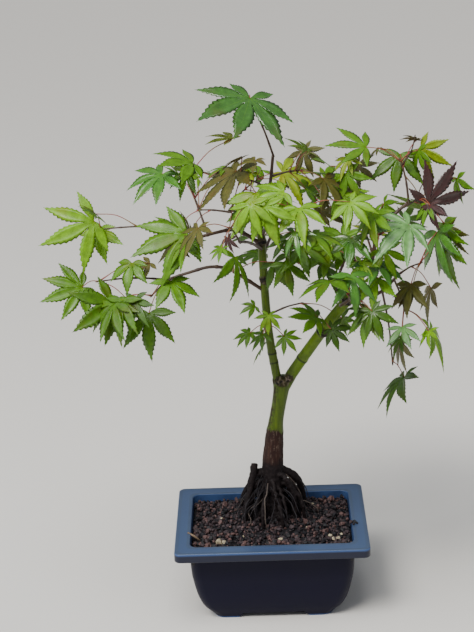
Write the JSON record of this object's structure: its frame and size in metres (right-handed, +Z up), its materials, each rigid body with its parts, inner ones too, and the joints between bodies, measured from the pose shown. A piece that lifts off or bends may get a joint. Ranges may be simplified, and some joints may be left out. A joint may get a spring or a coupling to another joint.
{
  "type": "maple bonsai",
  "caption": "Young Japanese maple bonsai with a forked green trunk, exposed dark roots and airy palmate foliage, in a shallow rectangular slate-blue training pot filled with gravel.",
  "frame": {"origin": "on the floor under the feet of the pot, below the middle of the plant's whole outline", "axes": "+Z up; the plant is seen from the front along +Y; +X to the right along the pot's long side"},
  "size_m": [0.462, 0.3382, 0.5739],
  "materials": {
    "pot": "satin slate blue, slightly polished on the rim",
    "soil": "rough red-brown and black gravel",
    "green_bark": "smooth green bark, brown and flaky near the roots",
    "twig_bark": "smooth dark red-brown twig bark",
    "leaves": "satin leaf with fine veins"
  },
  "bodies": {
    "root": {"back_bough": "twig_bark", "back_left_bough": "twig_bark", "back_right_bough": "twig_bark", "front_bough": "twig_bark", "front_left_bough": "twig_bark", "front_right_bough": "twig_bark", "inner_right_bough": "twig_bark", "leader": "green_bark", "leaves_apex": "leaves", "leaves_back_high": "leaves", "leaves_back_left": "leaves", "leaves_back_low": "leaves", "leaves_back_middle": "leaves", "leaves_back_right": "leaves", "leaves_far_left_lower": "leaves", "leaves_far_left_upper": "leaves", "leaves_far_right": "leaves", "leaves_far_right_low": "leaves", "leaves_front_left": "leaves", "leaves_front_right": "leaves", "leaves_inner_left": "leaves", "leaves_inner_low_right": "leaves", "leaves_inner_right": "leaves", "leaves_left_front": "leaves", "leaves_left_lower": "leaves", "leaves_left_top": "leaves", "leaves_lower_right": "leaves", "leaves_lowest_right": "leaves", "leaves_right_front": "leaves", "leaves_right_middle": "leaves", "leaves_right_top": "leaves", "leaves_trunk_sprig": "leaves", "leaves_upper_front": "leaves", "leaves_upper_inner_left": "leaves", "leaves_upper_middle": "leaves", "leaves_upper_right_inner": "leaves", "low_left_bough": "twig_bark", "outer_right_bough": "twig_bark", "pot": "pot", "right_bough": "green_bark", "soil": "soil", "top_bough": "twig_bark", "trunk": "green_bark", "upper_left_bough": "twig_bark", "upper_right_bough": "twig_bark"}
  },
  "joints": []
}
